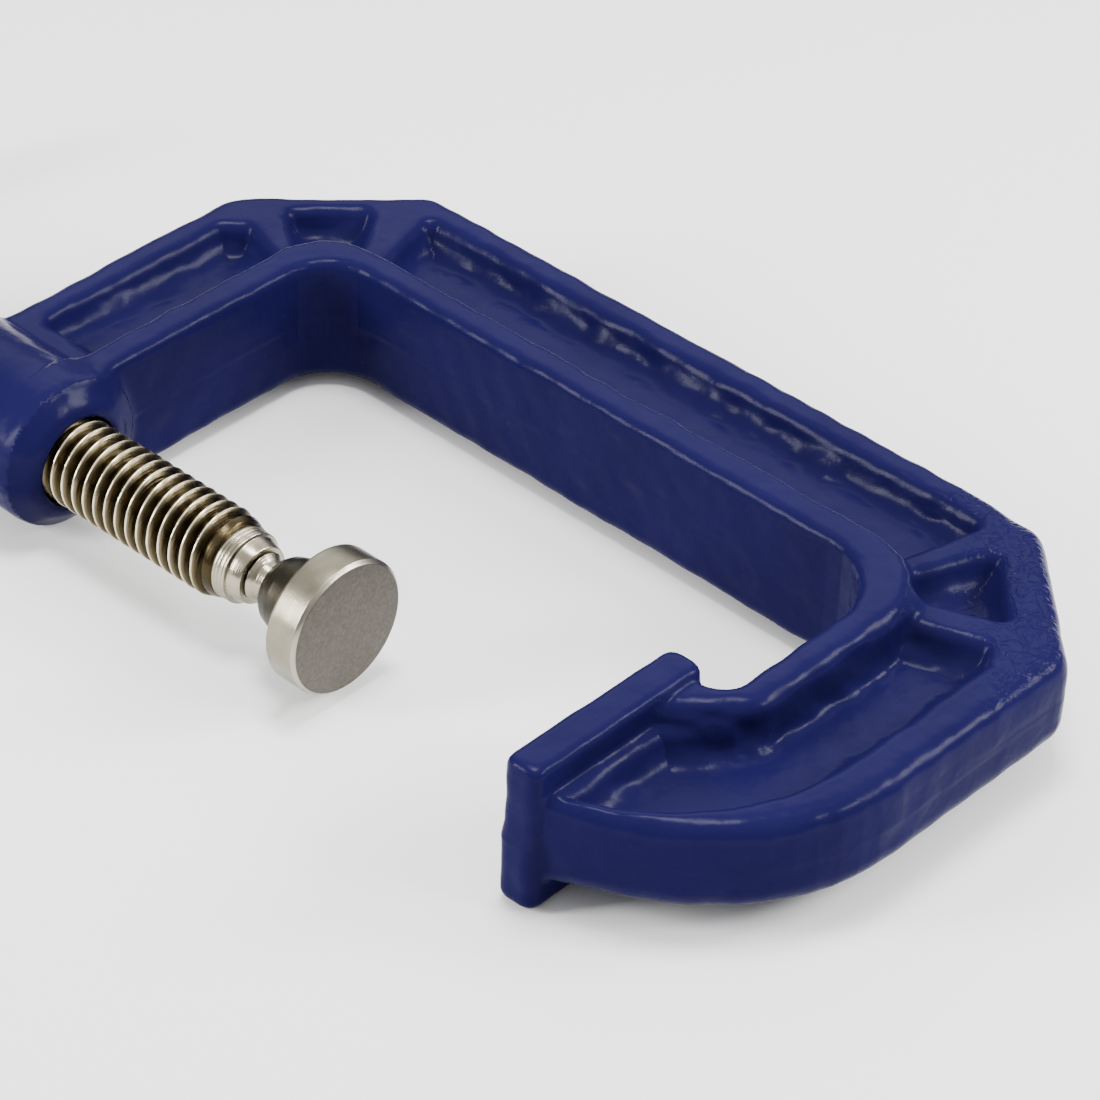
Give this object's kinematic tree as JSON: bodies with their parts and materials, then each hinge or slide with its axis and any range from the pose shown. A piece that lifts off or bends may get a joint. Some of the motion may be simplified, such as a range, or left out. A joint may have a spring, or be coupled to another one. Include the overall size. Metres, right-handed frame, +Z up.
{
  "type": "c clamp",
  "caption": "Cast C-clamp for carpentry: blue ribbed frame with a flat anvil, screw spindle with a sliding tommy bar, and a swivel pad that advances along the screw.",
  "frame": {"origin": "centre line of the screw, in the plane of the anvil's working face", "axes": "+X along the screw from the swivel pad towards the anvil, +Y from the screw towards the frame's spine, +Z up through the frame's thickness, with the clamp lying on its side"},
  "size_m": [0.2148, 0.1168, 0.0222],
  "materials": {
    "blue_enamel": "glossy deep blue enamel over slightly lumpy cast iron",
    "nickel_plate": "bright nickel plate over cut and turned steel",
    "worn_steel": "satin plate with a matte, stained working face"
  },
  "bodies": {
    "frame": {"frame_casting": "blue_enamel"},
    "screw_tip": {"ball_end": "nickel_plate"},
    "screw": {"spindle": "nickel_plate"},
    "bar": {"tommy_bar": "nickel_plate", "bar_knob_near": "nickel_plate", "bar_knob_far": "nickel_plate"},
    "pad": {"swivel_pad": "worn_steel"}
  },
  "joints": [
    {"name": "screw_advance", "type": "slide", "parent": "frame", "child": "screw_tip", "axis": [1, 0, 0], "range_m": [-0.0377, 0.0393]},
    {"name": "screw_turn", "type": "hinge", "parent": "screw_tip", "child": "screw", "pos_m": [-0.1, 0, 0], "axis": [1, 0, 0], "range_deg": [-6405, 6680]},
    {"name": "bar_slide", "type": "slide", "parent": "screw", "child": "bar", "axis": [0, 1, 0], "range_m": [-0.026, 0.026]},
    {"name": "pad_tilt", "type": "hinge", "parent": "screw_tip", "child": "pad", "pos_m": [-0.049, 0, 0], "axis": [0, 0, 1], "range_deg": [-8, 8]}
  ],
  "couplings": [
    {"joint": "screw_advance", "follows": "screw_turn", "m_per_rad": 0.00033688}
  ]
}
